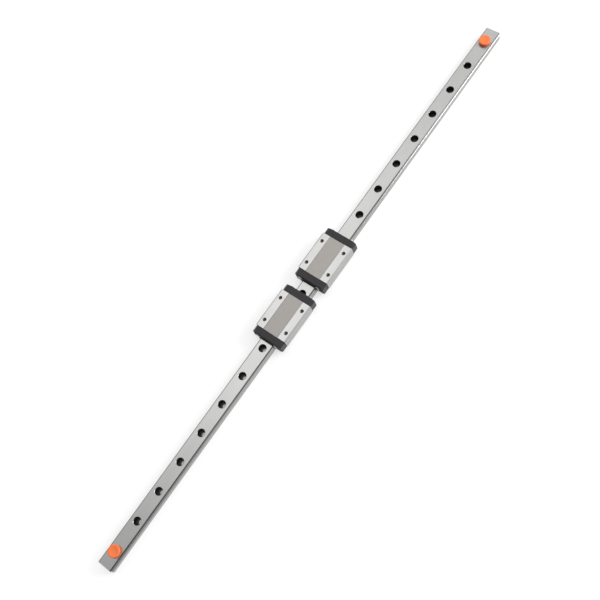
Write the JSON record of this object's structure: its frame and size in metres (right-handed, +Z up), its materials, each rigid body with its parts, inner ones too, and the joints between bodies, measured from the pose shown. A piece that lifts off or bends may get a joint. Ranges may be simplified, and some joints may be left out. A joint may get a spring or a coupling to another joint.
{
  "type": "linear guide carriage",
  "caption": "Miniature profile rail with recirculating-ball carriages that slide along it, and a press-in stop plug in each end hole of the rail.",
  "frame": {"origin": "middle of the rail's underside, halfway along its length", "axes": "+X along the rail, +Y across it, +Z up out of its top face"},
  "size_m": [0.5, 0.027, 0.013],
  "materials": {
    "rail_steel": "ground hardened steel",
    "block_steel": "ground hardened steel, matt recessed middle band",
    "cap_plastic": "moulded black plastic",
    "seal_rubber": "rubber-faced plate",
    "screw_steel": "stainless steel screws",
    "guide_plastic": "moulded plastic",
    "ball_steel": "polished bearing steel",
    "wire_steel": "drawn stainless wire",
    "plug_plastic": "orange moulded plastic"
  },
  "bodies": {
    "rail": {"rail": "rail_steel"},
    "left_carriage": {"left_carriage_block": "block_steel", "left_carriage_end_cap_left": "cap_plastic", "left_carriage_end_seal_left": "seal_rubber", "left_carriage_screw_left_front": "screw_steel", "left_carriage_return_guide_left_front": "guide_plastic", "left_carriage_screw_left_back": "screw_steel", "left_carriage_return_guide_left_back": "guide_plastic", "left_carriage_end_cap_right": "cap_plastic", "left_carriage_end_seal_right": "seal_rubber", "left_carriage_screw_right_front": "screw_steel", "left_carriage_return_guide_right_front": "guide_plastic", "left_carriage_screw_right_back": "screw_steel", "left_carriage_return_guide_right_back": "guide_plastic", "left_carriage_ball_circuit_front": "ball_steel", "left_carriage_ball_retainer_front": "wire_steel", "left_carriage_ball_circuit_back": "ball_steel", "left_carriage_ball_retainer_back": "wire_steel"},
    "right_carriage": {"right_carriage_block": "block_steel", "right_carriage_end_cap_left": "cap_plastic", "right_carriage_end_seal_left": "seal_rubber", "right_carriage_screw_left_front": "screw_steel", "right_carriage_return_guide_left_front": "guide_plastic", "right_carriage_screw_left_back": "screw_steel", "right_carriage_return_guide_left_back": "guide_plastic", "right_carriage_end_cap_right": "cap_plastic", "right_carriage_end_seal_right": "seal_rubber", "right_carriage_screw_right_front": "screw_steel", "right_carriage_return_guide_right_front": "guide_plastic", "right_carriage_screw_right_back": "screw_steel", "right_carriage_return_guide_right_back": "guide_plastic", "right_carriage_ball_circuit_front": "ball_steel", "right_carriage_ball_retainer_front": "wire_steel", "right_carriage_ball_circuit_back": "ball_steel", "right_carriage_ball_retainer_back": "wire_steel"},
    "stop_plug_left": {"stop_plug_left": "plug_plastic"},
    "stop_plug_right": {"stop_plug_right": "plug_plastic"}
  },
  "joints": [
    {"name": "left_carriage_slide", "type": "slide", "parent": "rail", "child": "left_carriage", "axis": [1, 0, 0], "range_m": [-0.1753, 0.00375]},
    {"name": "right_carriage_slide", "type": "slide", "parent": "rail", "child": "right_carriage", "axis": [1, 0, 0], "range_m": [-0.00375, 0.1912]},
    {"name": "stop_plug_left_pull", "type": "slide", "parent": "rail", "child": "stop_plug_left", "axis": [0, 0, 1], "range_m": [0, 0.012]},
    {"name": "stop_plug_right_pull", "type": "slide", "parent": "rail", "child": "stop_plug_right", "axis": [0, 0, 1], "range_m": [0, 0.012]}
  ]
}
